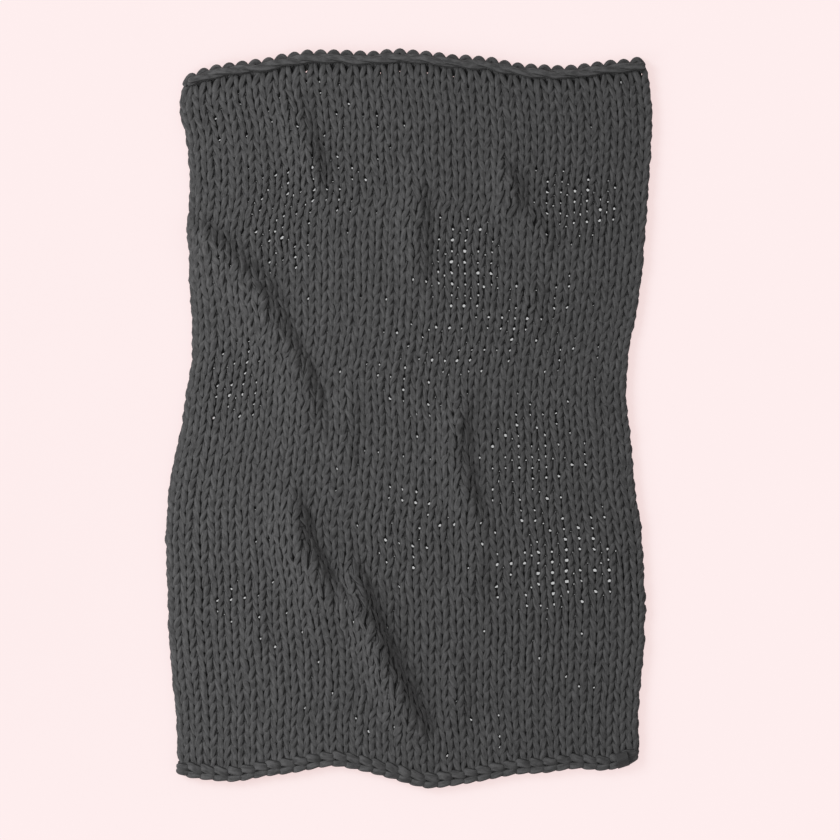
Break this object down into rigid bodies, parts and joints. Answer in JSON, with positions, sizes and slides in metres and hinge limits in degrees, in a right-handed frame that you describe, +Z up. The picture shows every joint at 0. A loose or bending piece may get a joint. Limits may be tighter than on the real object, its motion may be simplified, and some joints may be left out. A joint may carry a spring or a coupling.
{
  "type": "knitted weighted blanket, laid out flat",
  "caption": "Chunky hand-knitted weighted blanket lying flat with soft folds, a scalloped bound-off edge, a chain edge and a small bare label.",
  "frame": {"origin": "centre of the outline of the cloth as laid out, on the surface it lies on", "axes": "+X across the cloth, +Y along it from the chain edge to the bound-off edge, +Z up"},
  "size_m": [1.1188, 1.6974, 0.0717],
  "materials": {
    "yarn": "matt charcoal grey tube yarn",
    "label": "plain black woven tape"
  },
  "bodies": {
    "root": {"blanket": "yarn", "label": "label"}
  },
  "joints": []
}
